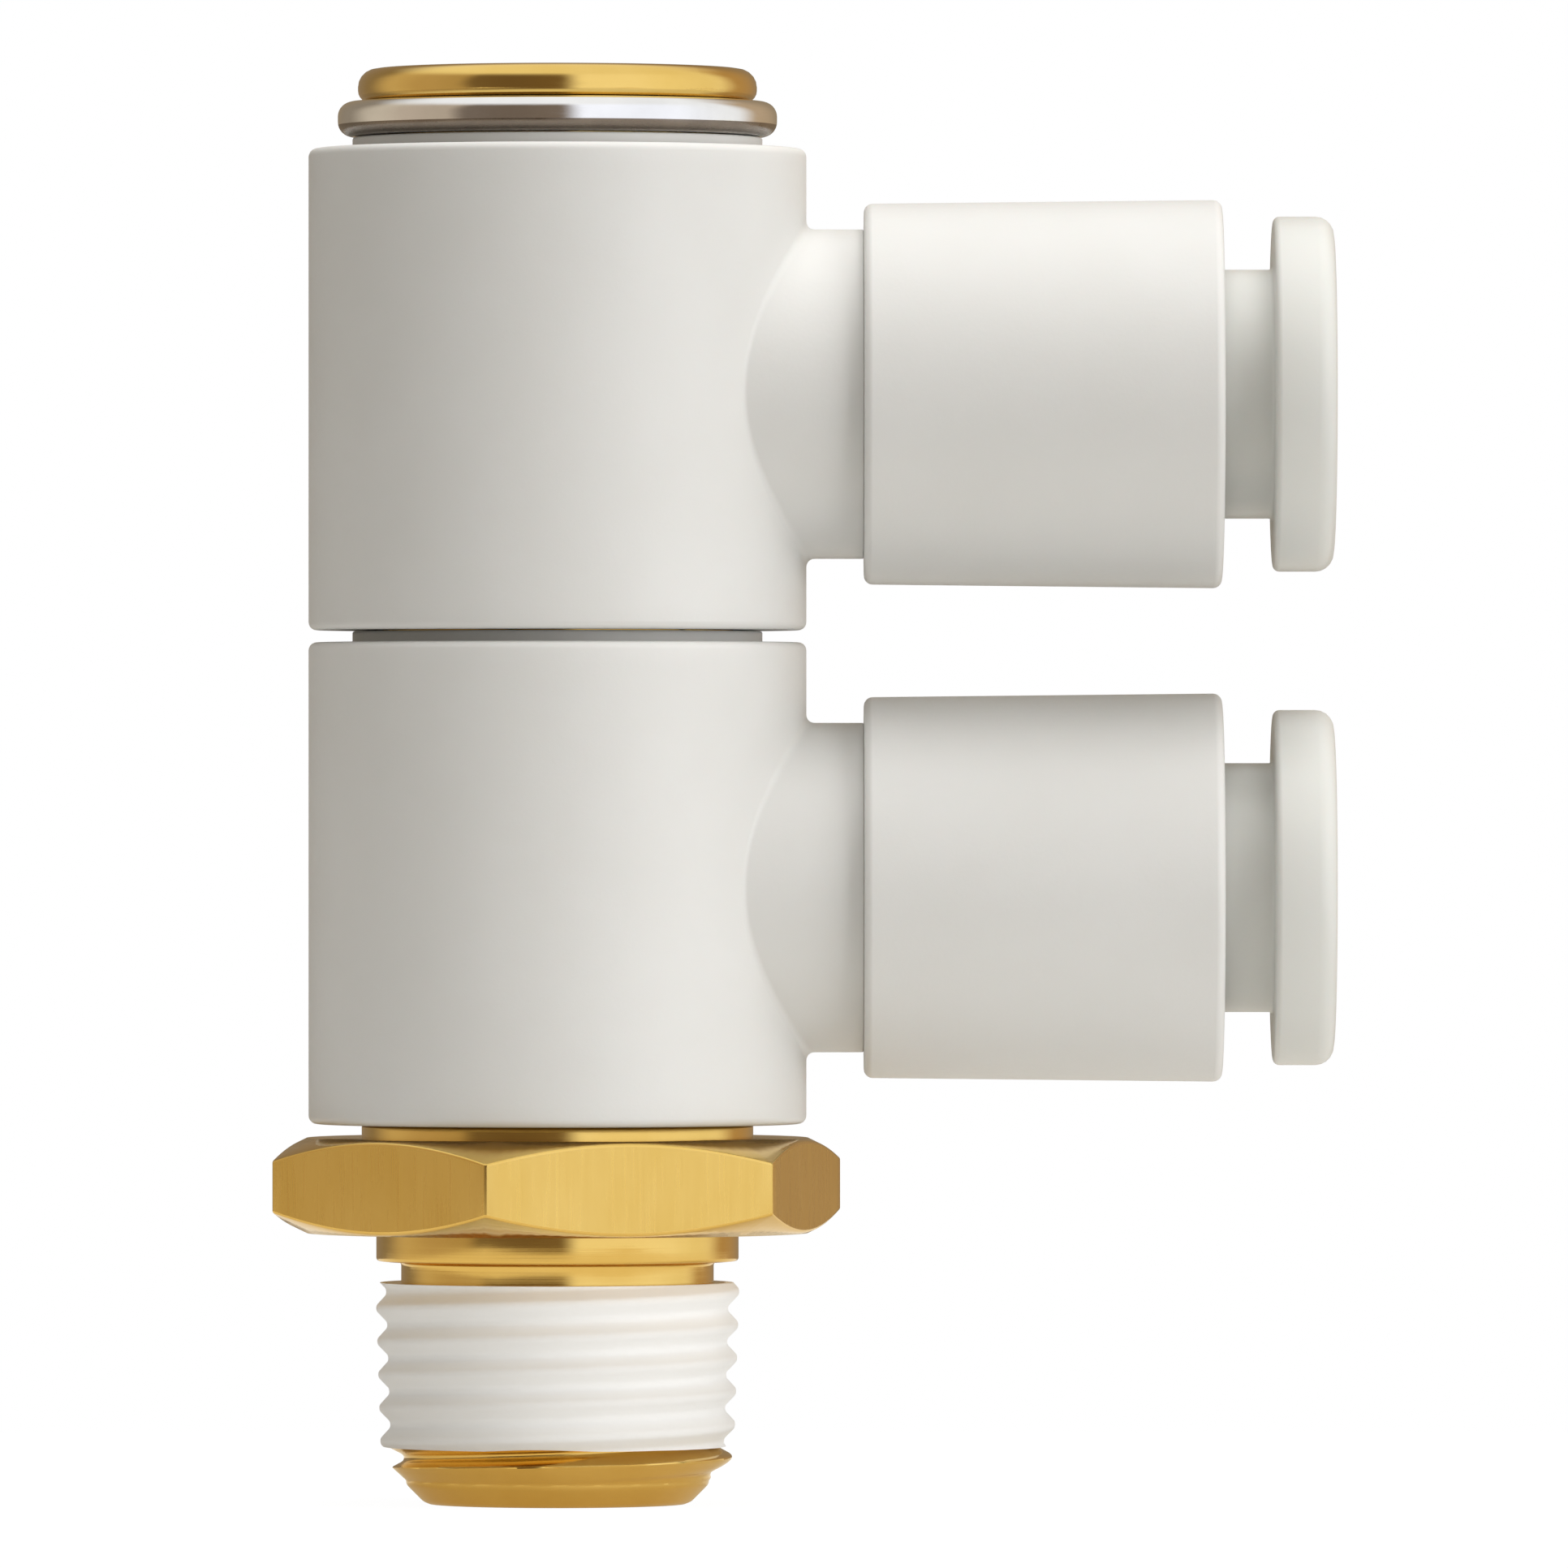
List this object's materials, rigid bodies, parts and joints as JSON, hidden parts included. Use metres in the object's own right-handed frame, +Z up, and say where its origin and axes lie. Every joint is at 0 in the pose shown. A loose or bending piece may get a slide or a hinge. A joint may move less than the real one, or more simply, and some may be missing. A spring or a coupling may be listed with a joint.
{
  "type": "double male elbow fitting",
  "caption": "Pneumatic push-in fitting: swivelling elbow bodies stacked on a brass stud with a male taper thread and a hexagon.",
  "frame": {"origin": "centre of the stud's end face, at the thread's lower end, on the swivel axis", "axes": "+Z up the stud from the thread to the head, +X along both tube ports at rest, out of their mouths"},
  "size_m": [0.0289, 0.0158, 0.0392],
  "materials": {
    "brass": "turned brass, bright satin",
    "steel": "stainless steel, rolled edges, bright",
    "body_plastic": "moulded white polyester, fine satin",
    "button_plastic": "moulded acetal, pale grey, satin",
    "collet_plastic": "natural acetal",
    "seal_rubber": "black nitrile rubber",
    "sealant": "dried white sealant coat, slightly rough"
  },
  "bodies": {
    "stud": {"stud": "brass", "thread_sealant": "sealant", "retaining_washer": "steel", "lower_bottom_o_ring": "seal_rubber", "lower_top_o_ring": "seal_rubber", "upper_bottom_o_ring": "seal_rubber", "upper_top_o_ring": "seal_rubber"},
    "lower_elbow": {"lower_elbow_body": "body_plastic", "lower_port_sleeve": "body_plastic", "lower_guide": "steel", "lower_seal": "seal_rubber"},
    "lower_grip": {"lower_collet": "collet_plastic", "lower_chuck": "steel"},
    "lower_button": {"lower_release_button": "button_plastic"},
    "upper_elbow": {"upper_elbow_body": "body_plastic", "upper_port_sleeve": "body_plastic", "upper_guide": "steel", "upper_seal": "seal_rubber"},
    "upper_grip": {"upper_collet": "collet_plastic", "upper_chuck": "steel"},
    "upper_button": {"upper_release_button": "button_plastic"}
  },
  "joints": [
    {"name": "lower_swivel", "type": "hinge", "parent": "stud", "child": "lower_elbow", "pos_m": [0, 0, 0.01683], "axis": [0, 0, 1], "continuous": true},
    {"name": "lower_grip_spin", "type": "hinge", "parent": "lower_elbow", "child": "lower_grip", "pos_m": [0.0128, 0, 0.01683], "axis": [1, 0, 0], "continuous": true},
    {"name": "lower_release", "type": "slide", "parent": "lower_grip", "child": "lower_button", "axis": [-1, 0, 0], "range_m": [0, 0.0013], "stiffness_N_per_m": 3000, "deforming": ["lower_chuck"]},
    {"name": "upper_swivel", "type": "hinge", "parent": "stud", "child": "upper_elbow", "pos_m": [0, 0, 0.03031], "axis": [0, 0, 1], "continuous": true},
    {"name": "upper_grip_spin", "type": "hinge", "parent": "upper_elbow", "child": "upper_grip", "pos_m": [0.0128, 0, 0.03031], "axis": [1, 0, 0], "continuous": true},
    {"name": "upper_release", "type": "slide", "parent": "upper_grip", "child": "upper_button", "axis": [-1, 0, 0], "range_m": [0, 0.0013], "stiffness_N_per_m": 3000, "deforming": ["upper_chuck"]}
  ]
}
